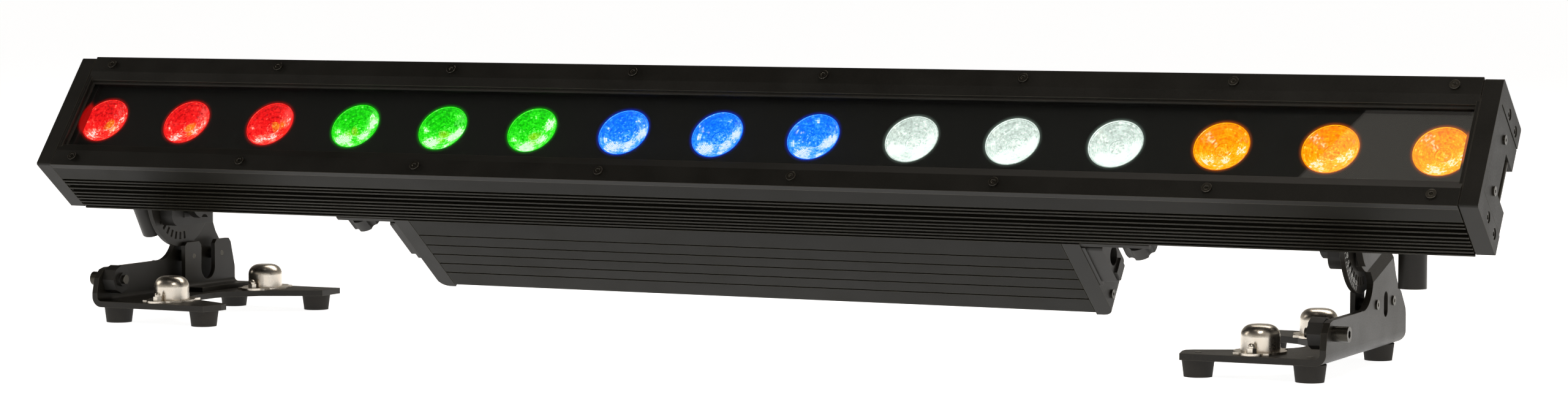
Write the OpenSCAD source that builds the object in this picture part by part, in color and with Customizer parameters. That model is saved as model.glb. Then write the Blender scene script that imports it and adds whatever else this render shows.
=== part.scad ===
// Led strip batten: a tilted light bar with a power box behind it,
// carried by two sliding floor brackets. Millimetres.
// x runs along the bar, y away from the lit side, z up from the feet.

/* [Bar] */
// Length of the bar over its two end caps
bar_len = 995.6; // [600:0.2:1300]
// Height of the bar's front face
bar_h = 90.5; // [60:0.5:140]
// Depth of the bar from front to back
bar_d = 51.7; // [35:0.1:90]
// How far the lit face is turned up from level
tilt = 37.8; // [0:0.1:90]
// Height of the front face's centre above the floor
bar_z = 143; // [90:0.5:240]
// Thickness of each end cap
cap_t = 11.8; // [4:0.1:20]
// Depth of the cooling grooves on the top and bottom faces
fin_depth = 7; // [2:0.5:10]

/* [Lights] */
// Number of lenses in the row
led_count = 15; // [3:3:30]
// Spacing of the lenses
led_pitch = 66.667; // [40:0.001:90]
// Radius of each lens
lens_r = 17.4; // [10:0.1:22]
// Half height of the window in the front frame
window_v = 27; // [20:0.5:33]

/* [Power box] */
// Length of the box over its end caps
box_len = 483; // [200:1:700]
// Depth of the box from front to back
box_d = 77.3; // [40:0.1:110]
// Height of the box
box_h = 30.7; // [20:0.1:60]
// Wall thickness of the box
box_wall = 2.2; // [1.2:0.1:4]

/* [Brackets] */
// Distance of the left bracket from the bar's middle
left_x = 414; // [343:1:418]
// Distance of the right bracket from the bar's middle
right_x = 358.2; // [343:0.1:418]
// Distance of the tilt axis behind the bar's front face
piv_d = 97.6; // [80:0.1:140]
// Thickness of the bent bracket sheet
sheet_t = 4; // [2:0.1:6]
// Radius of the notched tilt disc
disc_r = 37; // [28:0.5:45]
// Resting turn of the left clamp lever
left_lever = 31; // [-60:1:60]

/* [Hidden] */
$fn = 96;
e = 0.01;
half = bar_len / 2;
seam = half - cap_t;
hv = bar_h / 2;
bar_y = -61.4;
piv_y = bar_y + piv_d * cos(tilt);
piv_z = bar_z - piv_d * sin(tilt);
shell_v = hv - fin_depth;
cav_v = 34;
box_d0 = 53.7;
box_d1 = box_d0 + box_d;
box_v0 = -45.2;
box_v1 = box_v0 + box_h;
box_vm = (box_v0 + box_v1) / 2;
box_cap = 12;
knob_x = 274;
knob_v = -34;
box_half = box_len / 2 - box_cap;
base_y = 5.9;
foot_x = 34.4;
foot_y = 69.8;
foot_h = 10.5;
top_z = foot_h + sheet_t;
wall_x = 47.8;
park_y = -60.9;
park_z = 28.6;
dark = [0.13, 0.13, 0.12];
black = [0.05, 0.05, 0.05];
steel = [0.78, 0.78, 0.76];

// The bar's own frame: x along it, second axis into it, third up its face
module bar_frame() {
  translate([0, bar_y, bar_z])
    rotate([-tilt, 0, 0])
      children();
}

// A drawn outline (depth, height) carried along x from x0 to x1
module along(x0, x1) {
  translate([x0, 0, 0])
    rotate([90, 0, 90])
      linear_extrude(x1 - x0)
        children();
}

module block(x0, x1, d0, d1, v0, v1) {
  translate([x0, d0, v0])
    cube([x1 - x0, d1 - d0, v1 - v0]);
}

// A round bar along x
module rod_x(x0, x1, y, z, r) {
  translate([x0, y, z])
    rotate([0, 90, 0])
      cylinder(r = r, h = x1 - x0);
}

// A round bar into the bar's depth
module rod_d(x, v, d0, d1, r) {
  translate([x, d0, v])
    rotate([-90, 0, 0])
      cylinder(r = r, h = d1 - d0);
}

// A six-sided socket or nut into the bar's depth
module hex_d(x, v, d0, d1, r) {
  translate([x, d0, v])
    rotate([-90, 0, 0])
      cylinder(r = r, h = d1 - d0, $fn = 6);
}

// A six-sided socket or nut along x
module hex_x(x0, x1, y, z, r) {
  translate([x0, y, z])
    rotate([0, 90, 0])
      cylinder(r = r, h = x1 - x0, $fn = 6);
}

// ---- bar ----

// Nine thin fins leave eight gaps, some wider than others
groove = [[16.8, 19.05], [20.35, 22.55], [23.85, 27.55], [28.85, 32.35],
  [33.65, 36.25], [37.55, 39.75], [41.05, 43.45], [44.75, 47.05],
  [48.35, 50.4]];

module heatsink_body() {
  color(dark)
    bar_frame()
      difference() {
        block(-seam, seam, 4, bar_d, -hv, hv);
        for (g = groove)
          for (s = [-1, 1])
            block(-seam - 1, seam + 1, g[0], g[1],
              s > 0 ? shell_v : -hv - 1, s > 0 ? hv + 1 : -shell_v);
        block(-seam - 1, seam + 1, 3, 33, -cav_v, cav_v);
        block(-seam - 1, seam + 1, 38, 48.7, -cav_v + 2, cav_v - 2);
        for (i = [0 : 7])
          for (s = [-1, 1])
            rod_d(-470 + i * 134.286, s * 38.55, 3, 13, 1.55);
        for (s = [-1, 1])
          for (q = [-1, 1])
            for (dd = [24, 41])
              rod_x(s * seam - 12, s * seam + 12, dd, q * 36.1, 1.65);
        // cable way into the power box
        rod_d(0, -29, 32, 60, 6);
      }
}

module front_bezel() {
  color(dark)
    bar_frame()
      difference() {
        union() {
          along(-seam, seam)
            polygon([[0, hv], [4, hv], [4, window_v], [2, window_v],
              [0, window_v + 6]]);
          along(-seam, seam)
            polygon([[0, -hv], [4, -hv], [4, -window_v], [2, -window_v],
              [0, -window_v - 6]]);
          for (s = [-1, 1])
            block(s > 0 ? seam - 2 : -seam, s > 0 ? seam : -seam + 2,
              1.2, 4, -window_v - 2, window_v + 2);
        }
        for (i = [0 : 7])
          for (s = [-1, 1])
            rod_d(-470 + i * 134.286, s * 38.55, -1, 5, 1.7);
      }
}

module bezel_screws() {
  color(black)
    bar_frame()
      for (i = [0 : 7])
        for (s = [-1, 1])
          difference() {
            union() {
              rod_d(-470 + i * 134.286, s * 38.55, -1.9, 0, 3.1);
              rod_d(-470 + i * 134.286, s * 38.55, -e, 12, 1.5);
            }
            hex_d(-470 + i * 134.286, s * 38.55, -3, -0.7, 1.5);
          }
}

module frame_ring(d0, d1, xo, vo, xi, vi) {
  difference() {
    block(-xo, xo, d0, d1, -vo, vo);
    block(-xi, xi, d0 - 1, d1 + 1, -vi, vi);
  }
}

module glass_gasket() {
  color(black)
    bar_frame()
      frame_ring(4.02, 5.6, seam - 0.1, cav_v - 0.1, seam - 3, window_v - 1);
}

module front_glass() {
  color([0.8, 0.85, 0.88, 0.3])
    bar_frame()
      block(-seam + 0.1, seam - 0.1, 5.65, 8.65, -cav_v + 0.1, cav_v - 0.1);
}

function led_x(i) = (i - (led_count - 1) / 2) * led_pitch;

module lens_mask() {
  color(black)
    bar_frame() {
      frame_ring(8.7, 12.2, seam - 0.1, cav_v - 0.1, seam - 5.5,
        window_v + 0.5);
      difference() {
        block(-seam + 0.1, seam - 0.1, 12.2 - e, 14.2, -cav_v + 0.1,
          cav_v - 0.1);
        for (i = [0 : led_count - 1])
          rod_d(led_x(i), 0, 11, 16, lens_r + 0.15);
      }
    }
}

module lens_group(a, b, c) {
  color(c)
    bar_frame()
      for (i = [a : b]) {
        rod_d(led_x(i), 0, 12.7, 15.4, lens_r);
        translate([led_x(i), 15.39, 0])
          rotate([-90, 0, 0])
            cylinder(r1 = lens_r - 0.4, r2 = 8, h = 12.4);
      }
}

module lenses_red() {
  lens_group(0, led_count / 5 - 1, [0.9, 0.1, 0.08]);
}

module lenses_green() {
  lens_group(led_count / 5, 2 * led_count / 5 - 1, [0.1, 0.8, 0.2]);
}

module lenses_blue() {
  lens_group(2 * led_count / 5, 3 * led_count / 5 - 1, [0.1, 0.2, 0.95]);
}

module lenses_white() {
  lens_group(3 * led_count / 5, 4 * led_count / 5 - 1, [0.9, 0.9, 0.95]);
}

module lenses_amber() {
  lens_group(4 * led_count / 5, led_count - 1, [0.95, 0.5, 0.1]);
}

module led_board() {
  color([0.1, 0.3, 0.15])
    bar_frame()
      difference() {
        block(-seam + 4, seam - 4, 31.3, 32.9, -32, 32);
        for (i = [0 : led_count - 2])
          for (s = [-1, 1])
            rod_d(led_x(i) + led_pitch / 2, s * 24, 30, 34, 1.7);
      }
}

module led_emitters() {
  color([0.9, 0.85, 0.5])
    bar_frame()
      for (i = [0 : led_count - 1]) {
        block(led_x(i) - 3.5, led_x(i) + 3.5, 29.6, 31.25, -3.5, 3.5);
        rod_d(led_x(i), 0, 28.6, 29.61, 2.6);
      }
}

module end_cap(s) {
  mirror([s > 0 ? 0 : 1, 0, 0])
    difference() {
      union() {
        block(seam + 0.8, half, 2, bar_d - 2, -hv + 0.4, hv - 0.4);
        block(seam + 0.8, half, 0.4, bar_d - 0.4, -hv + 2, hv - 2);
        for (q = [-1, 1])
          for (dd = [2, bar_d - 2])
            rod_x(seam + 0.8, half, dd, q * (hv - 2), 1.6);
      }
      // seat of the link plate, with a shadow gap at its front edge
      block(half - 2, half + 1, 6, bar_d + 1, -30.8, 30.8);
      // coupling pocket, open at the back
      block(half - 9, half + 1, 33, bar_d + 1, -14.5, 14.5);
      for (q = [-1, 1])
        for (dd = [24, 41]) {
          rod_x(seam, half + 1, dd, q * 36.1, 1.9);
          rod_x(half - 3.4, half + 1, dd, q * 36.1, 3.5);
        }
      for (q = [-1, 1])
        rod_x(half - 8, half, 24, q * 18, 1.6);
    }
}

module end_cap_left() {
  color(dark)
    bar_frame()
      end_cap(-1);
}

module end_cap_right() {
  color(dark)
    bar_frame()
      end_cap(1);
}

module end_gaskets() {
  color(black)
    bar_frame()
      for (s = [-1, 1])
        mirror([s > 0 ? 0 : 1, 0, 0])
          difference() {
            block(seam + 0.02, seam + 0.78, 1, bar_d - 1, -hv + 1.4,
              hv - 1.4);
            block(seam - 1, seam + 1, 9, bar_d - 8, -30, 30);
            for (q = [-1, 1])
              for (dd = [24, 41])
                rod_x(seam - 1, seam + 1, dd, q * 36.1, 1.9);
          }
}

module link_plates() {
  color(dark)
    bar_frame()
      for (s = [-1, 1])
        mirror([s > 0 ? 0 : 1, 0, 0])
          difference() {
            block(half - 1.95, half - 0.3, 7, bar_d - 0.5, -30, 30);
            block(half - 9, half + 1, 33, bar_d + 1, -14.5, 14.5);
            for (q = [-1, 1])
              rod_x(half - 8, half + 1, 24, q * 18, 1.7);
          }
}

module link_pins() {
  color(black)
    bar_frame()
      for (s = [-1, 1])
        mirror([s > 0 ? 0 : 1, 0, 0])
          translate([half - 4.8, 41.5, -14.45])
            cylinder(r = 3.9, h = 28.9);
}

module end_screws() {
  color(steel)
    bar_frame()
      for (s = [-1, 1])
        mirror([s > 0 ? 0 : 1, 0, 0]) {
          for (q = [-1, 1])
            for (dd = [24, 41])
              difference() {
                union() {
                  rod_x(half - 3.35, half - 0.6, dd, q * 36.1, 3.2);
                  rod_x(seam - 11, half - 3.3, dd, q * 36.1, 1.6);
                }
                hex_x(half - 2.2, half + 1, dd, q * 36.1, 1.6);
              }
          for (q = [-1, 1])
            difference() {
              union() {
                rod_x(half - 0.3, half + 0.9, 24, q * 18, 2.9);
                rod_x(half - 7, half, 24, q * 18, 1.55);
              }
              hex_x(half + 0.3, half + 2, 24, q * 18, 1.2);
            }
        }
}

// Channel on the bar's back that both carriages slide in
module mounting_rail() {
  color(dark)
    bar_frame()
      difference() {
        along(-seam + 2, seam - 2)
          polygon([[bar_d, -14], [60.3, -14], [60.3, -7.5], [58.3, -7.5],
            [58.3, -12], [54.2, -12], [54.2, 12], [58.3, 12],
            [58.3, 7.5], [60.3, 7.5], [60.3, 14], [bar_d, 14]]);
        for (i = [-4 : 4])
          rod_d(i * 110, 0, 50, 56, 2.2);
      }
}

// ---- power box ----

module driver_housing() {
  color(dark)
    bar_frame()
      difference() {
        union() {
          block(-box_half, box_half, box_d0, box_d1, box_v0 + 2, box_v1);
          block(-box_half, box_half, box_d0, box_d1 - 2, box_v0, box_v1);
          rod_x(-box_half, box_half, box_d1 - 2, box_v0 + 2, 2);
          // two feet that hold the box off the bar's back
          for (s = [-1, 1])
            block(s * 190 - 20, s * 190 + 20, bar_d, box_d0 + 1, -38, -22);
          // collar of the cable way
          rod_d(0, -29, bar_d, box_d0 + 1, 9);
        }
        block(-box_half - 1, box_half + 1, box_d0 + box_wall,
          box_d1 - box_wall, box_v0 + box_wall, box_v1 - box_wall);
        for (dd = [70.6, 82, 92.8, 103.8, 114.7])
          block(-box_half - 1, box_half + 1, dd - 0.65, dd + 0.65,
            box_v0 - 1, box_v0 + 1);
        rod_d(0, -29, 50, box_d0 + 4, 6);
        // button holes, window seat and socket holes in the rear wall
        for (i = [0 : 3])
          rod_d(12 + i * 14, box_vm, box_d1 - 4, box_d1 + 1, 3.75);
        block(-58, -10, box_d1 - 1, box_d1 + 1, box_vm - 8, box_vm + 8);
        block(-54, -14, box_d1 - 4, box_d1 + 1, box_vm - 6, box_vm + 6);
        for (s = [-1, 1])
          rod_d(s * 180, box_vm, box_d1 - 4, box_d1 + 1, 10.1);
        rod_d(110, box_vm, box_d1 - 4, box_d1 + 1, 5.05);
      }
}

// Cap with a tab that the box knob clamps to the bar's back
module driver_cap(s) {
  mirror([s > 0 ? 0 : 1, 0, 0])
    difference() {
      union() {
        block(box_half + 0.5, box_half + box_cap, box_d0, box_d1 - 6,
          box_v0, box_v1);
        block(box_half + 0.5, box_half + box_cap - 7, box_d0, box_d1 + 1,
          box_v0, box_v1);
        intersection() {
          translate([box_half + box_cap - 7, box_d1 - 6, box_v0])
            cylinder(r = 7, h = box_v1 - box_v0);
          block(box_half + 0.5, box_half + box_cap + 1, box_d1 - 20,
            box_d1 + 2, box_v0 - 1, box_v1 + 1);
        }
        // plug that enters the box
        block(box_half - 4, box_half + 1, box_d0 + box_wall + 0.1,
          box_d1 - box_wall - 0.1, box_v0 + box_wall + 0.1,
          box_v1 - box_wall - 0.1);
        block(box_half + 4, 286, box_d0, box_d0 + 3, -44.5, -19);
        block(259, 284, bar_d, box_d0 + 1, -43, -21);
      }
      block(box_half - 5, box_half + 6, box_d0 + box_wall + 3,
        box_d1 - box_wall - 3, box_v0 + box_wall + 2,
        box_v1 - box_wall - 2);
      rod_d(knob_x, knob_v, 50, 60, 3.4);
      // opening for the power socket
      rod_x(box_half, box_half + box_cap + 1, 78, -30, 10.2);
      for (p = [[box_d1 - 11, box_v0 + 8], [box_d1 - 11, box_v1 - 5]])
        rod_x(box_half + 5, box_half + box_cap + 1, p[0], p[1], 1.65);
    }
}

module driver_cap_left() {
  color(dark)
    bar_frame()
      driver_cap(-1);
}

module driver_cap_right() {
  color(dark)
    bar_frame()
      driver_cap(1);
}

module box_screws() {
  color(steel)
    bar_frame()
      for (s = [-1, 1])
        mirror([s > 0 ? 0 : 1, 0, 0])
          for (p = [[box_d1 - 11, box_v0 + 8], [box_d1 - 11, box_v1 - 5]])
            difference() {
              union() {
                rod_x(box_half + box_cap, box_half + box_cap + 1.3,
                  p[0], p[1], 2.8);
                rod_x(box_half + 6, box_half + box_cap + e, p[0], p[1],
                  1.6);
              }
              hex_x(box_half + box_cap + 0.5, box_half + box_cap + 2,
                p[0], p[1], 1.2);
            }
}

module power_supply() {
  color([0.6, 0.6, 0.62])
    bar_frame()
      block(-160, -60, 62, 122, box_v0 + box_wall + 0.05, -18);
}

module driver_board() {
  color([0.1, 0.3, 0.15])
    bar_frame() {
      block(-55, 200, 60, 122, box_v0 + box_wall + 0.05,
        box_v0 + box_wall + 1.7);
      for (i = [0 : 4])
        translate([90 + i * 22, 76, box_v0 + box_wall + 1.6])
          cylinder(r = 7, h = 16);
      block(60, 200, 90, 110, box_v0 + box_wall + 1.6, -24);
    }
}

// In-line power sockets on the two ends of the box: a long one
// on the right and a shorter one on the left
module power_sockets() {
  color(black)
    bar_frame()
      for (s = [-1, 1], reach = [s > 0 ? 254 : 248])
        mirror([s > 0 ? 0 : 1, 0, 0])
          difference() {
            union() {
              block(box_half + box_cap + 0.02, box_half + box_cap + 2.4,
                58, 99, -44.8, -16);
              block(box_half + box_cap + 2, reach, 60, 97, -42, -29);
              block(box_half + box_cap + 2, reach, 62, 95, -44, -27);
              for (p = [[62, -42], [95, -42], [62, -29], [95, -29]])
                rod_x(box_half + box_cap + 2, reach, p[0], p[1], 2);
              rod_x(box_half + 2, box_half + box_cap + 1, 78, -30, 10);
              // hinged flap over the contacts
              block(reach - 0.5, reach + 1.6, 87.5, 96, -42.5, -31.5);
            }
            rod_x(s > 0 ? 246 : 243.2, reach + 2, 79.5, -35.5, 6);
          }
}

module data_sockets() {
  color(black)
    bar_frame()
      for (s = [-1, 1])
        difference() {
          union() {
            block(s * 180 - 13, s * 180 + 13, box_d1 + 0.02,
              box_d1 + 2.2, box_vm - 13, box_vm + 13);
            rod_d(s * 180, box_vm, box_d1 - 18, box_d1 + 1, 10);
            rod_d(s * 180, box_vm, box_d1 + 1, box_d1 + 4.5, 11.5);
          }
          rod_d(s * 180, box_vm, box_d1 - 12, box_d1 + 6, 8.6);
        }
}

module vent_plug() {
  color(black)
    bar_frame()
      difference() {
        union() {
          rod_d(110, box_vm, box_d1 + 0.02, box_d1 + 4, 8);
          rod_d(110, box_vm, box_d1 - 8, box_d1 + 1, 5);
        }
        for (a = [0 : 60 : 300])
          translate([110, box_d1 + 3, box_vm])
            rotate([0, a, 0])
              translate([5, -1, -0.5])
                cube([5, 5, 1]);
      }
}

// Steel loop for the safety wire
module safety_eye() {
  color(steel)
    bar_frame() {
      block(-16, 16, bar_d + 0.02, bar_d + 3, 17, 31);
      difference() {
        rod_x(-2.5, 2.5, bar_d + 10, 24, 9);
        rod_x(-4, 4, bar_d + 10, 24, 5.2);
      }
    }
}

module display_window() {
  color([0.05, 0.07, 0.1])
    bar_frame()
      block(-57.9, -10.1, box_d1 - 0.95, box_d1 + 0.1, box_vm - 7.9,
        box_vm + 7.9);
}

module button(i) {
  color(black)
    bar_frame() {
      rod_d(12 + i * 14, box_vm, box_d1 - 3, box_d1 + 1.6, 3.4);
      rod_d(12 + i * 14, box_vm, box_d1 - 4.2, box_d1 - 2.6, 4.6);
    }
}

module button_menu() {
  button(0);
}

module button_up() {
  button(1);
}

module button_down() {
  button(2);
}

module button_enter() {
  button(3);
}

// Five-lobed knob that clamps the box's tab
module box_knob(s) {
  color(black)
    bar_frame() {
      rod_d(s * knob_x, knob_v, 57.2, 60, 7);
      difference() {
        rod_d(s * knob_x, knob_v, 59.5, 70, 10.5);
        for (a = [0 : 72 : 288])
          translate([s * knob_x, 58, knob_v])
            rotate([0, a + 36, 0])
              translate([12.4, 0, 0])
                rotate([-90, 0, 0])
                  cylinder(r = 3.2, h = 20);
      }
      rod_d(s * knob_x, knob_v, 51.9, 58, 3);
    }
}

module box_knob_left() {
  box_knob(-1);
}

module box_knob_right() {
  box_knob(1);
}

// ---- brackets ----

// Bracket frame: x is 0 at the middle of the feet and grows outwards
module side(s) {
  translate([s > 0 ? right_x : -left_x, 0, 0])
    mirror([s > 0 ? 0 : 1, 0, 0])
      children();
}

// The same, turned with the bar
module side_bar(s) {
  translate([s > 0 ? right_x : -left_x, bar_y, bar_z])
    rotate([-tilt, 0, 0])
      mirror([s > 0 ? 0 : 1, 0, 0])
        children();
}

module carriage(s) {
  color(black)
    side_bar(s) {
      block(8, 60, 54.5, 58, -11.6, 11.6);
      difference() {
        block(8, 60, 57.9, 61.3, -7.1, 7.1);
        block(37.95, 41.05, 59.3, 62, -8, 8);
      }
    }
}

// Disc with index slots, on a neck that meets the carriage
module tilt_disc(s) {
  color(dark)
    side_bar(s)
      difference() {
        union() {
          rod_x(38, 41, piv_d, 0, disc_r);
          block(38, 41, 59.35, piv_d, -7.05, 7.05);
          block(38, 41, 62, piv_d, -26, 26);
        }
        rod_x(30, 50, piv_d, 0, 5.4);
        for (a = [-3 : 3])
          translate([30, piv_d, 0])
            rotate([(a + 1.53) * 10, 0, 0])
              translate([0, -1.15, -32.2])
                cube([20, 2.3, 5.2]);
      }
}

// Side outline of the upright wall and its arm
module wall_outline() {
  difference() {
    polygon([[-75.9, foot_h + 6], [-75.9, 20], [-73.5, 30],
      [-68, 35.5], [-63, 36.7], [-6, 37], [-1.4, 38.5], [10, 60],
      [25, 95], [46, 90], [61, 65.4], [66.5, 53.7], [72, 46.6],
      [78.7, 42.5], [88, 32], [89.1, 28], [89.1, foot_h + 6]]);
    // round bite in short straight steps
    polygon([for (a = [0 : 7.5 : 352.5])
      [-1.4 + 20 * cos(a), 57 + 20 * sin(a)]]);
  }
  translate([piv_y, piv_z])
    circle(r = 24);
}

// Floor plate and upright wall, bent from one sheet along the outer edge
module bent_sheet() {
  translate([0, 89.1, 0])
    rotate([90, 0, 0])
      linear_extrude(165)
        difference() {
          union() {
            translate([-45.7, foot_h])
              square([wall_x - 7 + 45.7, sheet_t]);
            translate([wall_x - sheet_t, foot_h + 7])
              square([sheet_t, 80]);
            intersection() {
              translate([wall_x - 7, foot_h + 7])
                circle(r = 7);
              translate([wall_x - 7, foot_h])
                square([7, 7]);
            }
          }
          translate([wall_x - 7, foot_h + 7])
            circle(r = 7 - sheet_t);
        }
}

module bracket_base(s) {
  color(dark)
    side(s)
      difference() {
        union() {
          difference() {
            bent_sheet();
            above_crease();
          }
          // crank that brings the arm in beside the disc
          intersection() {
            translate([20, 2, 20])
              cube([60, 120, 120]);
            crank();
          }
        }
        // two wings with a deep bay between them
        translate([0, 0, foot_h - 1])
          linear_extrude(sheet_t + 2)
            polygon([[-50, -54], [-45.7, -54], [-42, -50.5],
              [-8, -34], [9, -15], [12, -7], [12, 19], [9, 27],
              [-8, 46], [-42, 62.5], [-45.7, 66], [-50, 66]]);
        translate([0, 0, foot_h - 1])
          linear_extrude(sheet_t + 2)
            polygon([[-50, -80], [-42, -80], [-42, -75.9], [-45.7, -60],
              [-50, -60]]);
        for (q = [-1, 1])
          translate([0, base_y + q * 57.5, 0])
            cylinder(r = 8, h = 30);
        // everything outside the wall's side outline
        along(30, 60)
          difference() {
            translate([-120, foot_h + 7.5])
              square([260, 160]);
            wall_outline();
          }
        rod_x(30, 60, piv_y, piv_z, 5.05);
        rod_x(30, 60, park_y, park_z, 3.1);
        for (yy = [26, 60.5])
          rod_x(30, 60, yy, 38.6, 1.75);
        // upright slot in the arm
        along(30, 60)
          polygon([for (a = [7.5 : 15 : 352.5])
            [45 + 4.2 * cos(a), (a < 180 ? 41.2 : 34) + 4.2 * sin(a)]]);
        for (q = [-1, 1])
          for (w = [-1, 1])
            translate([w * foot_x, base_y + q * foot_y, 0])
              cylinder(r = 2.1, h = 30);
        for (q = [-1, 1])
          for (w = [-1, 1])
            translate([0, base_y + q * 57.5 + w * 16.5, 0])
              cylinder(r = 1.6, h = 30);
      }
}

// Room above the crease line, where the arm starts to lean inwards
module above_crease() {
  intersection() {
    translate([0, 18.6, 57])
      rotate([16, 0, 0])
        translate([30, -150, -4])
          cube([60, 300, 200]);
    translate([30, 2, 20])
      cube([60, 120, 120]);
  }
}

// Bent sheet section carried along the crease
module crank() {
  translate([0, 18.6, 57])
    rotate([16, 0, 0])
      translate([0, 150, 0])
        rotate([90, 0, 0])
          linear_extrude(300)
            polygon([[wall_x - 3, -6], [wall_x - 1, -6], [wall_x, -4],
              [wall_x - 2.5, 4], [wall_x - 2.5, 120],
              [wall_x - 2.5 - sheet_t, 120],
              [wall_x - 2.5 - sheet_t, 4], [wall_x - sheet_t, -4]]);
}

// L-shaped stay with two ears and a notch
module ear_plate(s) {
  color(dark)
    side(s)
      difference() {
        union() {
          along(34.3, 37.5)
            polygon([[15, top_z + 6], [15, 46.5], [17.2, 48.7],
              [32, 48.7], [34.5, 46], [34.5, 30], [51.5, 30],
              [51.5, 46], [54, 48.7], [69, 48.7], [71.5, 46],
              [76.5, 28], [76.5, top_z + 6]]);
          intersection() {
            difference() {
              translate([31.5, 15, top_z + 6.02])
                rotate([-90, 0, 0])
                  cylinder(r = 6, h = 61.5);
              translate([31.5, 10, top_z + 6.02])
                rotate([-90, 0, 0])
                  cylinder(r = 2.8, h = 80);
            }
            translate([31.5, 10, top_z])
              cube([7, 80, 6.1]);
          }
          translate([20, 15, top_z + 0.02])
            cube([11.55, 61.5, 3.2]);
          for (yy = [26, 60.5])
            rod_x(37.4, 43.75, yy, 38.6, 4);
        }
        for (yy = [26, 60.5])
          rod_x(30, 50, yy, 38.6, 1.75);
        rod_x(30, 40, 43, 30, 8.5);
      }
}

module clamp_block(s) {
  color(black)
    side(s)
      difference() {
        union() {
          rod_x(27.7, 37.7, piv_y, piv_z, 21.5);
          block(27.7, 37.7, piv_y - 18, piv_y + 24, piv_z - 21.5, piv_z + 14);
          block(27.7, 37.7, piv_y - 26, piv_y + 26, piv_z - 13, piv_z + 10);
          rod_x(27.7, 37.7, piv_y - 18, piv_z - 13.5, 8);
          // steel index strip on the inner face
          block(26.9, 27.8, piv_y - 12, piv_y + 14, piv_z - 16, piv_z - 12.5);
        }
        rod_x(20, 50, piv_y, piv_z, 5.05);
      }
}

module tilt_knob(s) {
  color(black)
    side(s)
      difference() {
        union() {
          rod_x(24, 26.6, piv_y, piv_z, 9);
          difference() {
            rod_x(18.5, 24.2, piv_y, piv_z, 17);
            for (a = [0 : 60 : 300])
              translate([10, piv_y, piv_z])
                rotate([a + 30, 0, 0])
                  translate([0, 18.6, 0])
                    rotate([0, 90, 0])
                      cylinder(r = 4.6, h = 20);
          }
        }
        rod_x(10, 30, piv_y, piv_z, 5.05);
      }
}

// Handle that hangs from a hub on the tilt axis
module clamp_lever(s) {
  color(dark)
    side(s)
      translate([0, piv_y, piv_z])
        rotate([s > 0 ? 0 : left_lever, 0, 0])
          difference() {
            union() {
              rod_x(49, 72, 0, 0, 10.5);
              rod_x(72, 79, 0, 0, 8.6);
              translate([72.6, 0, -33])
                cylinder(r = 8.6, h = 33);
              translate([72.6, 0, 0])
                sphere(r = 8.6);
            }
            rod_x(40, 58, 0, 0, 5.05);
            translate([72.6, 0, -34])
              cylinder(r = 6, h = 4);
          }
}

module rubber_feet(s) {
  color([0.08, 0.08, 0.08])
    side(s)
      for (q = [-1, 1])
        for (w = [-1, 1])
          translate([w * foot_x, base_y + q * foot_y, 0])
            difference() {
              cylinder(r1 = 8.5, r2 = 9.85, h = foot_h - 0.01);
              translate([0, 0, -1])
                cylinder(r = 4.2, h = 4.5);
              cylinder(r = 2.05, h = 30);
            }
}

// Tilt bolt, parking bolt, stay screws and foot screws
module bracket_bolts(s) {
  color(steel)
    side(s) {
      rod_x(17.5, 57.5, piv_y, piv_z, 5);
      // parking bolt with a socket head outside the wall
      rod_x(30.5, 48, park_y, park_z, 3);
      difference() {
        rod_x(wall_x + 0.02, wall_x + 9.4, park_y, park_z, 4.6);
        hex_x(wall_x + 5.5, wall_x + 12, park_y, park_z, 2.6);
      }
      for (yy = [26, 60.5])
        difference() {
          union() {
            rod_x(wall_x + 0.02, wall_x + 1, yy, 38.6, 3);
            rod_x(34.3, wall_x + 0.5, yy, 38.6, 1.7);
          }
          hex_x(wall_x + 0.4, wall_x + 3, yy, 38.6, 1.4);
        }
      for (q = [-1, 1])
        for (w = [-1, 1])
          translate([w * foot_x, base_y + q * foot_y, 0]) {
            translate([0, 0, 3.4])
              cylinder(r = 2, h = 11.3);
            translate([0, 0, 1.6])
              cylinder(r = 4, h = 1.85);
          }
    }
}

// Half section of a pressed dome, rounded over its top edge
module dome_half(r, c, h) {
  square([r, h - c]);
  translate([0, h - c - e])
    square([r - c, c + e]);
  intersection() {
    translate([r - c, h - c])
      circle(r = c);
    translate([0, h - c])
      square([r + 1, c + 1]);
  }
}

// Pressed dome over each quick-lock hole, held by two cap nuts
module receptacles(s) {
  color(steel)
    side(s)
      for (q = [-1, 1])
        translate([0, base_y + q * 57.5, top_z + 0.02]) {
          difference() {
            union() {
              linear_extrude(1.4)
                union() {
                  circle(r = 15.8);
                  for (w = [-1, 1])
                    translate([0, w * 15.5])
                      circle(r = 8);
                  translate([-11, -18])
                    square([22, 36]);
                }
              rotate_extrude()
                dome_half(11.8, 7, 17);
            }
            translate([0, 0, -0.5])
              rotate_extrude()
                dome_half(10.8, 6, 16.5);
            for (w = [-1, 1])
              translate([0, w * 16.5, -1])
                cylinder(r = 1.6, h = 4);
          }
          for (w = [-1, 1])
            translate([0, w * 16.5, 0])
              cap_nut();
        }
}

// Cap nut on its stud
module cap_nut() {
  translate([0, 0, 1.42])
    cylinder(r = 3.1, h = 2.8, $fn = 6);
  translate([0, 0, 4])
    rotate_extrude()
      intersection() {
        union() {
          square([2, 1.2]);
          translate([0, 1.2])
            circle(r = 2);
        }
        square([3, 4]);
      }
  translate([0, 0, -3.5])
    cylinder(r = 1.5, h = 6);
}

// Eight-sided hand nut on the parking bolt
module park_knob(s) {
  color(black)
    side(s)
      difference() {
        union() {
          translate([34.2, park_y, park_z])
            rotate([0, 90, 0])
              cylinder(r = 9.6, h = 9.2, $fn = 8);
          rod_x(32.4, 34.4, park_y, park_z, 4.6);
        }
        rod_x(30, 50, park_y, park_z, 3.06);
      }
}

module carriage_left() {
  carriage(-1);
}

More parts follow.
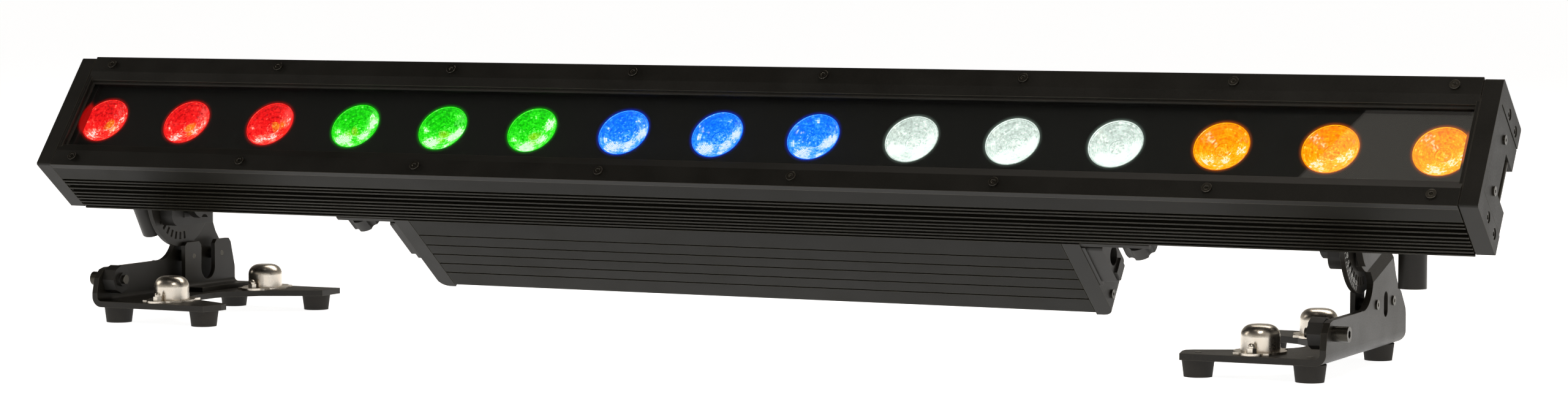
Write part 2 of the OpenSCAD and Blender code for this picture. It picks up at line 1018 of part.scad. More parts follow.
module tilt_disc_left() {
  tilt_disc(-1);
}

module bracket_base_left() {
  bracket_base(-1);
}

module ear_plate_left() {
  ear_plate(-1);
}

module clamp_block_left() {
  clamp_block(-1);
}

module tilt_knob_left() {
  tilt_knob(-1);
}

module clamp_lever_left() {
  clamp_lever(-1);
}

module rubber_feet_left() {
  rubber_feet(-1);
}

module bracket_bolts_left() {
  bracket_bolts(-1);
}

module receptacles_left() {
  receptacles(-1);
}

module park_knob_left() {
  park_knob(-1);
}

module carriage_right() {
  carriage(1);
}

module tilt_disc_right() {
  tilt_disc(1);
}

module bracket_base_right() {
  bracket_base(1);
}

module ear_plate_right() {
  ear_plate(1);
}

module clamp_block_right() {
  clamp_block(1);
}

module tilt_knob_right() {
  tilt_knob(1);
}

module clamp_lever_right() {
  clamp_lever(1);
}

module rubber_feet_right() {
  rubber_feet(1);
}

module bracket_bolts_right() {
  bracket_bolts(1);
}

module receptacles_right() {
  receptacles(1);
}

module park_knob_right() {
  park_knob(1);
}

heatsink_body();
front_bezel();
bezel_screws();
glass_gasket();
front_glass();
lens_mask();
lenses_red();
lenses_green();
lenses_blue();
lenses_white();
lenses_amber();
led_board();
led_emitters();
end_cap_left();
end_cap_right();
end_gaskets();
link_plates();
link_pins();
end_screws();
mounting_rail();
driver_housing();
driver_cap_left();
driver_cap_right();
box_screws();
power_supply();
driver_board();
power_sockets();
data_sockets();
vent_plug();
safety_eye();
display_window();
button_menu();
button_up();
button_down();
button_enter();
box_knob_left();
box_knob_right();
carriage_left();
tilt_disc_left();
bracket_base_left();
ear_plate_left();
clamp_block_left();
tilt_knob_left();
clamp_lever_left();
rubber_feet_left();
bracket_bolts_left();
receptacles_left();
park_knob_left();
carriage_right();
tilt_disc_right();
bracket_base_right();
ear_plate_right();
clamp_block_right();
tilt_knob_right();
clamp_lever_right();
rubber_feet_right();
bracket_bolts_right();
receptacles_right();
park_knob_right();
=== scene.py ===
"""A stage light bar on two tilting floor brackets: fifteen lit lenses behind a sloping window.

The CAD frame gives every hard part. This file adds the lit optics, the printed scales and a
finish for each surface. Shapes are worked out in mm and set in place in metres.
"""
import math

import bpy
import numpy as np
from mathutils import Matrix


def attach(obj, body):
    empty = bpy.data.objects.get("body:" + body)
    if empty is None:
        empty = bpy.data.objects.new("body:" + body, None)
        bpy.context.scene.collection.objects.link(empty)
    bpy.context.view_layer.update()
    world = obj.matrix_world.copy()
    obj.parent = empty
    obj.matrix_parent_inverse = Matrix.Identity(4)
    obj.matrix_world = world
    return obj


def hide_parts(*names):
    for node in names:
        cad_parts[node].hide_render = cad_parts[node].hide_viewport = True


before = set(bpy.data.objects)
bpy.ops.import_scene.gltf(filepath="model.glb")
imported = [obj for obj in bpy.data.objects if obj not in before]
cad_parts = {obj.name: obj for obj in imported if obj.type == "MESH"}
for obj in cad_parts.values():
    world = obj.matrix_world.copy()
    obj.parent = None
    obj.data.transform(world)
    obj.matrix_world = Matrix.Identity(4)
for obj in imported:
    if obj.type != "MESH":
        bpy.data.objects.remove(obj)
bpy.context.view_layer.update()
MM = 0.001

# The bar leans back: its own axes are x along it, d into it from the window side, v up its face.
TILT = math.radians(37.8)
BAR_Y, BAR_Z = -61.4, 143.0
PIVOT_D = 97.6
LENS_PITCH = 66.667
SIDE_X = {"left": -414.0, "right": 358.2}
SIDE_SIGN = {"left": -1.0, "right": 1.0}


# ---------------------------------------------------------------- shapes

def bar_points(x, d, v):
    """Points of the bar's own axes, in mm, turned by the tilt and set in place, in metres."""
    x, d, v = np.broadcast_arrays(x, d, v)
    y = BAR_Y + d * math.cos(TILT) + v * math.sin(TILT)
    z = BAR_Z - d * math.sin(TILT) + v * math.cos(TILT)
    return np.stack([x, y, z], -1).reshape(-1, 3) * MM


def grid_faces(rows, columns, around=False):
    """Quads of a grid of points stored row by row; the last column joins the first if around."""
    r = np.arange(rows - 1)[:, None]
    c = np.arange(columns if around else columns - 1)[None, :]
    n = (c + 1) % columns
    quads = np.stack([r * columns + c, r * columns + n,
                      (r + 1) * columns + n, (r + 1) * columns + c], -1)
    return quads.reshape(-1, 4)


def piece(name, points, faces, material, body):
    """A flat shaded mesh object from arrays of points and faces, which rides on a body."""
    mesh = bpy.data.meshes.new(name)
    mesh.from_pydata(np.asarray(points).tolist(), [], [list(map(int, f)) for f in faces])
    mesh.polygons.foreach_set("use_smooth", [False] * len(mesh.polygons))
    mesh.materials.append(material)
    mesh.update()
    made = bpy.data.objects.new(name, mesh)
    bpy.context.scene.collection.objects.link(made)
    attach(made, body)
    return made


# ---------------------------------------------------------------- finishes

def tone(hex_code):
    """Linear colour of an sRGB hex value."""
    parts = [int(hex_code[i:i + 2], 16) / 255 for i in (1, 3, 5)]
    return [p / 12.92 if p <= 0.04045 else ((p + 0.055) / 1.055) ** 2.4 for p in parts] + [1.0]


def add(tree, kind, inputs=None, **settings):
    """Adds a shader node; each input is a plain value or the output that feeds it."""
    made = tree.nodes.new("ShaderNode" + kind)
    for key, value in settings.items():
        setattr(made, key, value)
    for key, value in (inputs or {}).items():
        if isinstance(value, bpy.types.NodeSocket):
            tree.links.new(value, made.inputs[key])
        else:
            made.inputs[key].default_value = value
    return made


def stops(ramp, values, interpolation="LINEAR"):
    """Sets a colour ramp's stops from (place, colour) pairs."""
    line = ramp.color_ramp
    line.interpolation = interpolation
    while len(line.elements) > 1:
        line.elements.remove(line.elements[-1])
    for i, (place, colour) in enumerate(values):
        spot = line.elements[0] if i == 0 else line.elements.new(place)
        spot.position = place
        spot.color = colour
    return ramp


def new_material(name, **sockets):
    """A Principled material with these socket values; returns it, its tree and its shader."""
    made = bpy.data.materials.new(name)
    made.use_nodes = True
    tree = made.node_tree
    tree.nodes.clear()
    shader = add(tree, "BsdfPrincipled", {k.replace("_", " "): v for k, v in sockets.items()})
    add(tree, "OutputMaterial", {"Surface": shader.outputs["BSDF"]})
    return made, tree, shader


def coated(name, dark, light, rough_low, rough_high, grain_mm, depth_mm, edge_mm, specular=0.35,
           metallic=0.0, edge_highlight="#3A3934"):
    """A coated or moulded surface: fine bump, drifting tone and gloss, edges lit by a painted
    highlight.
    """
    made, tree, shader = new_material(name, Metallic=metallic, Specular_IOR_Level=specular)
    place = add(tree, "TexCoord").outputs["Object"]
    drift = add(tree, "TexNoise", {"Vector": place, "Scale": 1 / (28 * MM), "Detail": 3.0})
    speck = add(tree, "TexNoise", {"Vector": place, "Scale": 1 / (grain_mm * MM), "Detail": 2.0,
                                   "Roughness": 0.6})
    mixed = add(tree, "Math", {0: drift.outputs["Fac"], 1: speck.outputs["Fac"]})
    half = add(tree, "Math", {0: mixed.outputs[0], 1: 0.5}, operation="MULTIPLY")
    colour = stops(add(tree, "ValToRGB", {"Fac": half.outputs[0]}),
                   [(0.36, tone(dark)), (0.64, tone(light))])
    gloss = add(tree, "MapRange", {"Value": half.outputs[0], "From Min": 0.35, "From Max": 0.65,
                                   "To Min": rough_low, "To Max": rough_high})
    edge = add(tree, "Bevel", {"Radius": edge_mm * MM}, samples=4)
    bump = add(tree, "Bump", {"Height": speck.outputs["Fac"], "Distance": depth_mm * MM,
                              "Strength": 0.6, "Normal": edge.outputs["Normal"]})
    # painted highlight: where the bevel's rounded normal turns away from the face, the colour is
    # mixed to a lighter tone, standing in for light caught on edges
    flat = add(tree, "NewGeometry").outputs["Normal"]
    bend = add(tree, "VectorMath", {0: edge.outputs["Normal"], 1: flat}, operation="DOT_PRODUCT")
    edge_highlight_mask = add(tree, "MapRange", {"Value": bend.outputs["Value"], "From Min": 0.86,
                                    "From Max": 0.985, "To Min": 1.0, "To Max": 0.0})
    edge_highlight_mix = add(tree, "Mix", {0: edge_highlight_mask.outputs["Result"], 6: colour.outputs["Color"],
                                  7: tone(edge_highlight)}, data_type="RGBA")
    tree.links.new(edge_highlight_mix.outputs[2], shader.inputs["Base Color"])
    tree.links.new(gloss.outputs["Result"], shader.inputs["Roughness"])
    tree.links.new(bump.outputs["Normal"], shader.inputs["Normal"])
    return made


# Aluminium, extruded and hard anodised black: a dry satin skin with a very fine tooth; its edges
# carry a pale painted highlight.
anodised = coated("Extruded_aluminium_anodised_black", "#100F0B", "#161510", 0.40, 0.52,
                  0.7, 0.006, 0.16, 0.12, edge_highlight="#8A8474")
# Aluminium plate, powder coated: the baked powder leaves a faint orange peel a millimetre wide.
powder = coated("Aluminium_plate_powder_coated_black", "#161512", "#1F1E1B", 0.40, 0.52,
                1.0, 0.012, 0.35, 0.22, edge_highlight="#5A554A")
# Pressed mild steel, powder coated: the same skin, a little glossier, its tight bends painted
# lighter as a highlight.
bracket_coat = coated("Pressed_steel_powder_coated_black", "#181612", "#23201B", 0.36, 0.48,
                      0.9, 0.012, 0.35, 0.34, edge_highlight="#5C564A")
# Glass filled nylon, injection moulded: matt, with the fine spark grain of the mould.
nylon = coated("Injection_moulded_nylon_black", "#161513", "#201E1B", 0.42, 0.56,
               0.5, 0.02, 0.3, 0.4)
# Natural rubber, compression moulded: dull and slightly dusty.
rubber = coated("Compression_moulded_rubber_black", "#22201D", "#2E2B27", 0.62, 0.8,
                1.2, 0.05, 0.4, 0.3)
# Steel screws with a black oxide finish: dark, but still metallic in their sockets.
oxide = coated("Machined_steel_black_oxide", "#3A3833", "#4C4942", 0.26, 0.36,
               0.4, 0.004, 0.16, 0.5, 0.9, edge_highlight="#B4AEA2")

def stainless():
    """Deep drawn stainless steel, satin: bright, with a gloss that clouds softly."""
    made, tree, shader = new_material("Drawn_stainless_steel_polished", Metallic=1.0)
    place = add(tree, "TexCoord").outputs["Object"]
    swirl = add(tree, "TexNoise", {"Vector": place, "Scale": 1 / (6 * MM), "Detail": 5.0})
    colour = stops(add(tree, "ValToRGB", {"Fac": swirl.outputs["Fac"]}),
                   [(0.3, tone("#DCD3C6")), (0.7, tone("#EAE3D8"))])
    gloss = add(tree, "MapRange", {"Value": swirl.outputs["Fac"], "From Min": 0.3,
                                   "From Max": 0.7, "To Min": 0.24, "To Max": 0.30})
    tree.links.new(colour.outputs["Color"], shader.inputs["Base Color"])
    tree.links.new(gloss.outputs["Result"], shader.inputs["Roughness"])
    return made


def window_glass():
    """Toughened float glass: clear, smooth, lets lamps through to the panel behind."""
    made, tree, shader = new_material(
        "Toughened_float_glass_clear", Base_Color=tone("#F6FAF8"), Roughness=0.0, IOR=1.45,
        Transmission_Weight=1.0)
    output = next(n for n in tree.nodes if n.type == "OUTPUT_MATERIAL")
    clear = add(tree, "BsdfTransparent", {"Color": tone("#F2F6F4")})
    path = add(tree, "LightPath")
    either = add(tree, "MixShader", {0: path.outputs["Is Shadow Ray"],
                                     1: shader.outputs["BSDF"], 2: clear.outputs["BSDF"]})
    tree.links.new(either.outputs[0], output.inputs["Surface"])
    return made


def plain_patterned(name, dark, light, roughness, grain_mm, metallic=0.0, specular=0.5):
    """A small part's finish: two close tones in a fine cloud, and an even gloss."""
    made, tree, shader = new_material(name, Metallic=metallic, Roughness=roughness,
                                      Specular_IOR_Level=specular)
    place = add(tree, "TexCoord").outputs["Object"]
    cloud = add(tree, "TexNoise", {"Vector": place, "Scale": 1 / (grain_mm * MM)})
    colour = stops(add(tree, "ValToRGB", {"Fac": cloud.outputs["Fac"]}),
                   [(0.35, tone(dark)), (0.65, tone(light))])
    tree.links.new(colour.outputs["Color"], shader.inputs["Base Color"])
    return made


steel_bright = stainless()
glass = window_glass()
# White screen ink: opaque, a little chalky.
ink = plain_patterned("Screen_printed_ink_white", "#D6D6D2", "#ECECE8", 0.6, 1.0)
# Circuit board laminate under green solder mask.
board_green = plain_patterned("Circuit_laminate_green_mask", "#12351F", "#1A4A2B", 0.35, 4.0)
# Silicone over the light chips, yellow from its phosphor.
phosphor = plain_patterned("Cast_silicone_phosphor_yellow", "#D8C860", "#E8DA80", 0.3, 1.0)
# Zinc plated sheet of the inner power supply.
zinc = plain_patterned("Folded_steel_zinc_plated", "#9A9C9E", "#B4B6B8", 0.4, 8.0, 1.0)
# Smoked acrylic over the display: near black and glossy.
smoked = plain_patterned("Cast_acrylic_smoked", "#07090B", "#0C0F12", 0.08, 12.0)

# Each colour's tones from the deep glow of the bowl to the hottest glints.
LIGHTS = {
    "red": ["#7A0004", "#DC1418", "#FC2C26", "#FF8C74", "#FFF4EC"],
    "green": ["#006A04", "#14C408", "#40F028", "#B4FF9C", "#FAFFF4"],
    "blue": ["#0040DC", "#0A74FF", "#46A8FF", "#BCE6FF", "#FAFEFF"],
    "white": ["#78827F", "#BCC6C3", "#ECF2F0", "#FFFFFF", "#FFFFFF"],
    "amber": ["#9A4600", "#F08C00", "#FFB00A", "#FFD850", "#FFFAE4"],
}
# How strongly the hottest spots of each colour burn out to white.
HEAT = {"red": 1.05, "green": 2.2, "blue": 2.2, "white": 1.3, "amber": 1.15}
# How much of the chip's yellow shows at the heart of each colour.
WARMTH = {"red": 0.75, "green": 0.30, "blue": 0.0, "white": 0.0, "amber": 0.8}


def lens_light(name, tones):
    """Clear moulded acrylic lit from behind, by the piece's own glow and warm values per face."""
    made, tree, shader = new_material("Moulded_acrylic_lit_" + name, Roughness=0.12,
                                      Base_Color=tone(tones[1]), Emission_Strength=1.0)
    glow = add(tree, "Attribute", attribute_name="glow", attribute_type="GEOMETRY")
    warm = add(tree, "Attribute", attribute_name="warm", attribute_type="GEOMETRY")
    place = add(tree, "TexCoord").outputs["Object"]
    speck = add(tree, "TexNoise", {"Vector": place, "Scale": 1 / (1.3 * MM), "Detail": 2.0})
    lift = add(tree, "MapRange", {"Value": speck.outputs["Fac"], "From Min": 0.3, "From Max": 0.7,
                                  "To Min": -0.16, "To Max": 0.16})
    level = add(tree, "Math", {0: glow.outputs["Fac"], 1: lift.outputs["Result"]})
    colour = stops(add(tree, "ValToRGB", {"Fac": level.outputs[0]}),
                   [(p, tone(c)) for p, c in zip((0.0, 0.28, 0.52, 0.76, 0.95), tones)])
    chip = stops(add(tree, "ValToRGB", {"Fac": level.outputs[0]}),
                 [(0.1, tone("#C06008")), (0.5, tone("#F0A818")), (0.9, tone("#FFF0A0"))])
    shown = add(tree, "Mix", {0: warm.outputs["Fac"], 6: colour.outputs["Color"],
                              7: chip.outputs["Color"]}, data_type="RGBA")
    tree.links.new(shown.outputs[2], shader.inputs["Emission Color"])
    return made


def halo_mask():
    """Flat black painted panel with the soft ring of light that each lens throws on it."""
    made, tree, shader = new_material("Sheet_panel_flat_black_lit", Roughness=0.65,
                                      Specular_IOR_Level=0.25, Base_Color=tone("#101010"),
                                      Emission_Strength=1.0)
    place = add(tree, "TexCoord").outputs["Object"]
    # turn the panel's own plane level, so that x and y lie along it
    level = add(tree, "Mapping", {"Vector": place, "Rotation": (TILT - math.pi / 2, 0, 0)},
                vector_type="POINT")
    parts = add(tree, "SeparateXYZ", {"Vector": level.outputs[0]})
    centre = bar_points(0.0, 12.2, 0.0)[0]
    middle = centre[1] * math.sin(TILT) + centre[2] * math.cos(TILT)
    shifted = add(tree, "Math", {0: parts.outputs["X"], 1: LENS_PITCH * MM * 7.5})
    cell = add(tree, "Math", {0: shifted.outputs[0], 1: LENS_PITCH * MM}, operation="MODULO")
    across = add(tree, "Math", {0: cell.outputs[0], 1: LENS_PITCH * MM / 2}, operation="SUBTRACT")
    up = add(tree, "Math", {0: parts.outputs["Y"], 1: middle}, operation="SUBTRACT")
    flat = add(tree, "CombineXYZ", {"X": across.outputs[0], "Y": up.outputs[0]})
    far = add(tree, "VectorMath", {0: flat.outputs[0]}, operation="LENGTH")
    fade = add(tree, "MapRange", {"Value": far.outputs["Value"], "From Min": 17.0 * MM,
                                  "From Max": 20.0 * MM, "To Min": 0.85, "To Max": 0.0})
    soft = add(tree, "Math", {0: fade.outputs[0], 1: 2.6}, operation="POWER")
    along = add(tree, "MapRange", {"Value": parts.outputs["X"],
                                   "From Min": -LENS_PITCH * MM * 7.5,
                                   "From Max": LENS_PITCH * MM * 7.5})
    zones = stops(add(tree, "ValToRGB", {"Fac": along.outputs[0]}),
                  [(0.0, tone("#C80000")), (0.2, tone("#00A000")), (0.4, tone("#0030E0")),
                   (0.6, tone("#7A8A80")), (0.8, tone("#D86000"))], "CONSTANT")
    lit = add(tree, "VectorMath", {0: zones.outputs["Color"], "Scale": soft.outputs[0]},
              operation="SCALE")
    tree.links.new(lit.outputs["Vector"], shader.inputs["Emission Color"])
    return made


# ---------------------------------------------------------------- finishes on the CAD parts

FINISHES = {
    "heatsink_body": anodised, "mounting_rail": anodised, "driver_housing": anodised,
    "front_bezel": powder, "end_cap_left": powder, "end_cap_right": powder,
    "driver_cap_left": powder, "driver_cap_right": powder, "link_plates": powder,
    "bezel_screws": oxide, "end_screws": oxide, "box_screws": oxide, "link_pins": oxide,
    "glass_gasket": rubber, "end_gaskets": rubber, "front_glass": glass,
    "lens_mask": halo_mask(), "led_board": board_green, "driver_board": board_green,
    "led_emitters": phosphor, "power_supply": zinc, "power_sockets": nylon,
    "data_sockets": nylon, "vent_plug": nylon, "safety_eye": steel_bright,
    "display_window": smoked, "button_menu": rubber, "button_up": rubber,
    "button_down": rubber, "button_enter": rubber,
}
for side in SIDE_X:
    FINISHES.update({
        "box_knob_" + side: nylon, "tilt_knob_" + side: nylon, "park_knob_" + side: nylon,
        "clamp_block_" + side: nylon, "clamp_lever_" + side: bracket_coat,
        "carriage_" + side: bracket_coat, "tilt_disc_" + side: bracket_coat,
        "bracket_base_" + side: bracket_coat, "ear_plate_" + side: bracket_coat,
        "rubber_feet_" + side: rubber, "bracket_bolts_" + side: oxide,
        "receptacles_" + side: steel_bright,
    })
for name, material in FINISHES.items():
    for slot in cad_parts[name].material_slots:
        slot.material = material


# ---------------------------------------------------------------- lit lenses

BOWL_LIP, BOWL_DEEP, BOWL_SPREAD = 12.9, 4.4, 16.6
BACK_GAP = 0.25
CORE_FOOT, CORE_RISE, CORE_R = 17.0, 1.6, 5.0
CORE_SIDES, CORE_STEPS = 24, 6
RING_SIDES, BEAD_SIDES = 48, 8
# Hot spots on the bowl: turn about the axis, distance out, width, strength.
SPOTS = ((-2.05, 11.5, 4.4, 0.66), (0.15, 11.8, 3.6, 0.62), (-0.85, 8.2, 3.4, 0.60),
         (-2.9, 13.6, 2.2, 0.30), (1.2, 13.0, 2.4, 0.22), (-1.45, 13.8, 2.0, 0.35))


def bowl(radius):
    """Depth of the bowl at a radius: lip + deep (1 - (r / spread)^2)."""
    return BOWL_LIP + BOWL_DEEP * (1 - (radius / BOWL_SPREAD) ** 2)


def ring(centre_x, radius, thick, depth):
    """A round bead of this thickness about a lens axis, as points and faces."""
    around, bead = np.meshgrid(np.linspace(0, 2 * math.pi, RING_SIDES + 1)[:-1],
                               np.linspace(0, 2 * math.pi, BEAD_SIDES + 1)[:-1], indexing="ij")
    out = radius + thick * np.cos(bead)
    made = np.stack([centre_x + out * np.cos(around), depth - thick * np.sin(bead),
                     out * np.sin(around)], -1).reshape(-1, 3)
    i, j = np.meshgrid(np.arange(RING_SIDES), np.arange(BEAD_SIDES), indexing="ij")
    here, after = i * BEAD_SIDES, (i + 1) % RING_SIDES * BEAD_SIDES
    turned = (j + 1) % BEAD_SIDES
    return made, np.stack([here + j, after + j, after + turned, here + turned],
                          -1).reshape(-1, 4)


def lens_optic(centre_x, seed, heat):
    """One collimator seen from its window side: points, faces, and glow and warmth per face.

    Rings of separate flat facets stand just in front of a plain bowl, both following bowl(r); a
    low dome, foot - rise sin(lift), sits at the bottom inside a bright ring, and a round bead
    edges the rim. The facets and the bowl are open surfaces, seen from the window side only.
    """
    dice = np.random.default_rng(seed)
    rings, sectors = 10, 52
    r = np.linspace(5.6, 16.5, rings + 1)
    turn = np.linspace(0, 2 * math.pi, sectors + 1)
    r0, a0 = np.meshgrid(r[:-1], turn[:-1], indexing="ij")
    r1, a1 = np.meshgrid(r[1:], turn[1:], indexing="ij")
    gap = 0.07
    corners = [(r0 + gap, a0), (r0 + gap, a1), (r1 - gap, a1), (r1 - gap, a0)]
    sunk = [bowl(q) for q, _ in corners]
    tip = dice.normal(0, 0.10, r0.shape)
    cells = np.stack([np.stack([centre_x + q * np.cos(a), s + tip * (0.6 if i in (0, 1) else -0.6),
                                q * np.sin(a)], -1)
                      for i, ((q, a), s) in enumerate(zip(corners, sunk))], 2).reshape(-1, 3)
    cell_faces = np.arange(len(cells)).reshape(-1, 4)
    mid_r, mid_a = (r0 + r1) / 2, (a0 + a1) / 2
    cell_x, cell_v = mid_r * np.cos(mid_a), mid_r * np.sin(mid_a)
    # brighter towards the foot of the lens, darker at its upper left
    glow = 0.36 - 0.010 * cell_v + 0.004 * cell_x + 0.065 * dice.normal(0, 1, r0.shape)
    for angle, far, width, gain in SPOTS:
        angle = angle + dice.normal(0, 0.22)
        off = np.hypot(cell_x - far * math.cos(angle), cell_v - far * math.sin(angle))
        sparkle = 0.35 + 0.95 * dice.random(r0.shape)
        glow = glow + heat * gain * np.exp(-(off / width) ** 2) * sparkle
    glow[2::3] -= 0.10
    glow[dice.random(r0.shape) < 0.07] += 0.22
    cell_glow = np.clip(glow, 0.04, 1.0).ravel()
    # patches where the yellow of the chip shows through
    side = dice.uniform(-2.6, 0.4)
    near = np.hypot(cell_x - 7.0 * math.cos(side), cell_v - 7.0 * math.sin(side))
    cell_warm = np.clip(np.exp(-(near / 2.6) ** 2), 0, 1).ravel()

    backing = 24
    r2, a2 = np.meshgrid(np.linspace(16.7, 4.9, 9), np.linspace(0, 2 * math.pi, backing + 1)[:-1],
                         indexing="ij")
    back = np.stack([centre_x + r2 * np.cos(a2), bowl(r2) + BACK_GAP,
                     r2 * np.sin(a2)], -1).reshape(-1, 3)
    back_faces = grid_faces(9, backing, around=True)

    lift, a3 = np.meshgrid(np.linspace(0, math.pi / 2, CORE_STEPS + 1)[:-1],
                           np.linspace(0, 2 * math.pi, CORE_SIDES + 1)[:-1], indexing="ij")
    dome = np.stack([centre_x + CORE_R * np.cos(lift) * np.cos(a3),
                     CORE_FOOT - CORE_RISE * np.sin(lift),
                     CORE_R * np.cos(lift) * np.sin(a3)], -1).reshape(-1, 3)
    top = np.array([[centre_x, CORE_FOOT - CORE_RISE, 0.0]])
    last = (CORE_STEPS - 1) * CORE_SIDES
    dome_faces = [list(f) for f in grid_faces(CORE_STEPS, CORE_SIDES, around=True)]
    dome_faces += [[last + k, last + (k + 1) % CORE_SIDES, CORE_STEPS * CORE_SIDES]
                   for k in range(CORE_SIDES)]

    rim, rim_faces = ring(centre_x, 17.0, 0.36, 12.75)
    inner, inner_faces = ring(centre_x, 5.35, 0.22, 16.6)
    cap_glow = dice.uniform(0.12, 0.62, CORE_SIDES)
    dome_glow = np.concatenate([np.roll(cap_glow, 5 * k) for k in range(CORE_STEPS - 1)]
                               + [np.full(CORE_SIDES, 0.55)])
    facing = np.arange(len(dome_faces)) % CORE_SIDES * (2 * math.pi / CORE_SIDES)
    dome_warm = np.clip(0.15 + 0.95 * np.cos(facing - side), 0, 1)
    place = np.repeat(np.arange(RING_SIDES), BEAD_SIDES) * 2 * math.pi / RING_SIDES
    glint = 0.45 + 0.4 * np.cos(place + 0.9)
    edge = 0.30 + 0.22 * np.cos(place - 2.2)
    points, faces, glows, warms, count = [], [], [], [], 0
    for some, these, levels, warm in (
            (cells, cell_faces, cell_glow, cell_warm),
            (back, back_faces, np.full(len(back_faces), 0.08), np.zeros(len(back_faces))),
            (np.vstack([dome, top]), dome_faces, dome_glow, dome_warm),
            (inner, inner_faces, glint, np.zeros(len(inner_faces))),
            (rim, rim_faces, edge, np.zeros(len(rim_faces)))):
        points.append(some)
        faces += [[int(i) + count for i in f] for f in these]
        glows.append(np.asarray(levels, float))
        warms.append(np.asarray(warm, float))
        count += len(some)
    return np.vstack(points), faces, np.concatenate(glows), np.concatenate(warms)


for group, (colour, tones) in enumerate(LIGHTS.items()):
    all_points, all_faces, count = [], [], 0
    values = {"glow": [], "warm": []}
    for k in range(3):
        number = group * 3 + k
        points, faces, glow, warm = lens_optic((number - 7) * LENS_PITCH, 100 + number,
                                               HEAT[colour])
        all_points.append(points)
        all_faces += [[i + count for i in f] for f in faces]
        values["glow"].append(glow)
        values["warm"].append(warm * WARMTH[colour])
        count += len(points)
    local = np.vstack(all_points)
    optic = piece("lens_optics_" + colour, bar_points(local[:, 0], local[:, 1], local[:, 2]),
                  all_faces, lens_light(colour, tones), "fixture")
    for key, parts in values.items():
        held = optic.data.attributes.new(key, "FLOAT", "FACE")
        held.data.foreach_set("value", np.concatenate(parts).astype(np.float32))
    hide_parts("lenses_" + colour)


# ---------------------------------------------------------------- printed scale on the tilt discs

DIGITS = {  # strokes of a plain seven segment figure: which of the seven bars are printed
    "0": "abcdef", "1": "bc", "2": "abged", "3": "abgcd", "4": "fgbc",
    "5": "afgcd", "6": "afgedc", "7": "abc", "8": "abcdefg", "9": "abcdfg",
}
BARS = {"a": (0, 1, 1, 1), "b": (1, 1, 1, 0.5), "c": (1, 0.5, 1, 0), "d": (0, 0, 1, 0),
        "e": (0, 0, 0, 0.5), "f": (0, 1, 0, 0.5), "g": (0, 0.5, 1, 0.5)}


def stroke(u0, w0, u1, w1, width):
    """Four corners of a flat bar from (u0, w0) to (u1, w1), half a width out on every side."""
    along = np.array([u1 - u0, w1 - w0], float)
    along /= np.linalg.norm(along)
    side = np.array([-along[1], along[0]]) * width / 2
    start, end = np.array([u0, w0]) - along * width / 2, np.array([u1, w1]) + along * width / 2
    return np.array([start - side, end - side, end + side, start + side])


def scale_strokes(mirror):
    """Ticks every five degrees and a two figure number every ten, on a ring about the disc's axis.

    A point at turn a and radius r sits at (r cos a, r sin a) in the disc's plane, with a measured
    from the window side downwards; numbers stand with their feet towards the axis.
    """
    found = []
    for step in range(0, 24):
        a = math.radians(step * 5 - 5)
        long = 2.4 if step % 2 == 1 else 1.4
        ray = np.array([math.cos(a), math.sin(a)])
        found.append(stroke(*(ray * (36.2 - long)), *(ray * 36.2), 0.42))
    for number in range(0, 12):
        a = math.radians(number * 10)
        ray = np.array([math.cos(a), math.sin(a)])
        cross = np.array([-ray[1], ray[0]]) * mirror
        figures = str(number * 10) if number else "0"
        for k, figure in enumerate(figures):
            shift = (k - (len(figures) - 1) / 2) * 1.75
            for bar in DIGITS[figure]:
                u0, w0, u1, w1 = BARS[bar]
                place = [ray * (30.6 + w * 2.3) + cross * (shift + (u - 0.5) * 1.15)
                         for u, w in ((u0, w0), (u1, w1))]
                found.append(stroke(*place[0], *place[1], 0.36))
    return np.array(found)


for side, sign in SIDE_SIGN.items():
    flat = scale_strokes(-sign)
    # a turn is measured from the disc's own front, -d, towards the bar's underside, -v
    d = PIVOT_D - flat[..., 0]
    v = -flat[..., 1]
    layers = []
    for out in (41.02, 41.10):
        x = np.full(d.shape, SIDE_X[side] + sign * out)
        layers.append(bar_points(x, d, v).reshape(-1, 4, 3))
    prism = np.concatenate(layers, axis=1).reshape(-1, 3)
    block = np.arange(len(flat))[:, None, None] * 8
    quads = np.array([[3, 2, 1, 0], [4, 5, 6, 7], [0, 1, 5, 4], [1, 2, 6, 5], [2, 3, 7, 6],
                      [3, 0, 4, 7]])[None]
    faces = (block + (quads if sign > 0 else quads[:, :, ::-1])).reshape(-1, 4)
    piece("tilt_scale_" + side, prism, faces, ink, "carriage_" + side)


# ---------------------------------------------------------------- floor, lights and camera

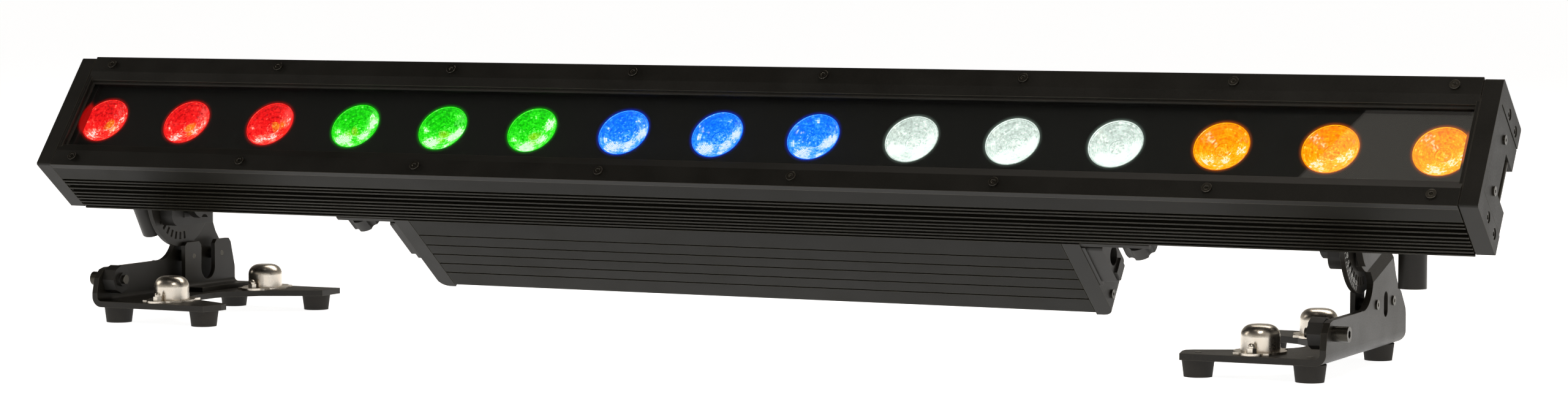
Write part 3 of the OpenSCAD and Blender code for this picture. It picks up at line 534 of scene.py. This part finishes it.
def room():
    """A wide pale floor that glows, a surround that is darker overhead, and five soft lamps."""
    u, w = np.meshgrid(np.linspace(-30, 30, 7), np.linspace(-30, 30, 7), indexing="xy")
    mesh = bpy.data.meshes.new("floor")
    points = np.stack([u.ravel(), w.ravel(), np.zeros(u.size)], -1)
    mesh.from_pydata(points.tolist(), [], grid_faces(7, 7).tolist())
    floor = bpy.data.objects.new("floor", mesh)
    bpy.context.scene.collection.objects.link(floor)
    paper, tree, shader = new_material("Studio_paper_white", Roughness=0.9,
                                       Specular_IOR_Level=0.1, Emission_Strength=0.92,
                                       Emission_Color=tone("#FFFFFF"))
    place = add(tree, "TexCoord").outputs["Object"]
    cloud = add(tree, "TexNoise", {"Vector": place, "Scale": 3.0})
    colour = stops(add(tree, "ValToRGB", {"Fac": cloud.outputs["Fac"]}),
                   [(0.3, tone("#F4F4F4")), (0.7, tone("#F8F8F8"))])
    tree.links.new(colour.outputs["Color"], shader.inputs["Base Color"])
    mesh.materials.append(paper)

    world = bpy.data.worlds.new("surround")
    bpy.context.scene.world = world
    world.use_nodes = True
    tree = world.node_tree
    tree.nodes.clear()
    way = add(tree, "TexCoord").outputs["Generated"]
    height = add(tree, "SeparateXYZ", {"Vector": way})
    sky = stops(add(tree, "ValToRGB", {"Fac": height.outputs["Z"]}),
                [(0.0, tone("#A8A39A")), (0.16, tone("#A09B92")), (0.40, tone("#625F5A")),
                 (0.66, tone("#2E2C2A"))])
    glow = add(tree, "Background", {"Color": sky.outputs["Color"], "Strength": 1.0})
    add(tree, "OutputWorld", {"Surface": glow.outputs[0]})

    def lamp(name, at, towards, size, power, spin=0.0):
        """A rectangular soft lamp at a place, facing a point, turned about its own axis."""
        data = bpy.data.lights.new(name, "AREA")
        data.shape = "RECTANGLE"
        data.size, data.size_y = size
        data.energy = power
        data.color = tone("#FFF6EA")[:3]
        made = bpy.data.objects.new(name, data)
        bpy.context.scene.collection.objects.link(made)
        back = np.subtract(at, towards).astype(float)
        back = back / np.linalg.norm(back)
        right = np.cross([0.0, 1.0, 0.0], back)
        right = right / np.linalg.norm(right)
        up = np.cross(back, right)
        turn = math.radians(spin)
        right, up = (math.cos(turn) * right + math.sin(turn) * up,
                     math.cos(turn) * up - math.sin(turn) * right)
        rows = [[right[i], up[i], back[i], at[i]] for i in range(3)] + [[0, 0, 0, 1]]
        made.matrix_world = Matrix(rows)

    lamp("lamp_top", (0.4, 1.7, 2.6), (0, 0.2, 0), (3.2, 1.6), 44)
    # the card shows as the pale slanted patch on the right end of the window
    lamp("lamp_card", (-0.088, -0.874, 2.2), (-0.088, -0.874, 0.0), (0.9, 0.5), 0.75, 43.4)
    lamp("lamp_front", (0.62, -0.85, 1.0), (0.42, -0.06, 0.14), (0.3, 0.3), 3.4)
    lamp("lamp_right", (2.8, -1.4, 1.5), (0.2, 0, 0.1), (1.4, 1.6), 2.0)
    lamp("lamp_left", (-2.6, -0.6, 1.2), (-0.3, 0, 0.1), (1.2, 1.2), 8)


def camera():
    """A long lens, low in front and to the right of the bar."""
    turn, drop, roll = math.radians(25.4), math.radians(3.65), math.radians(0.11)
    ahead = np.array([-math.sin(turn) * math.cos(drop), math.cos(turn) * math.cos(drop),
                      -math.sin(drop)])
    level = np.array([math.cos(turn), math.sin(turn), 0.0])
    over = np.cross(level, ahead)
    right = math.cos(roll) * level + math.sin(roll) * over
    up = math.cos(roll) * over - math.sin(roll) * level
    data = bpy.data.cameras.new("camera")
    data.sensor_width = 36
    data.sensor_fit = "HORIZONTAL"
    data.lens = 86.43
    data.clip_end = 200
    made = bpy.data.objects.new("camera", data)
    bpy.context.scene.collection.objects.link(made)
    spot = (1.05424, -2.17448, 0.24134)
    rows = [[right[i], up[i], -ahead[i], spot[i]] for i in range(3)] + [[0, 0, 0, 1]]
    made.matrix_world = Matrix(rows)
    bpy.context.scene.camera = made


room()
camera()
bpy.context.scene.view_settings.view_transform = "Standard"
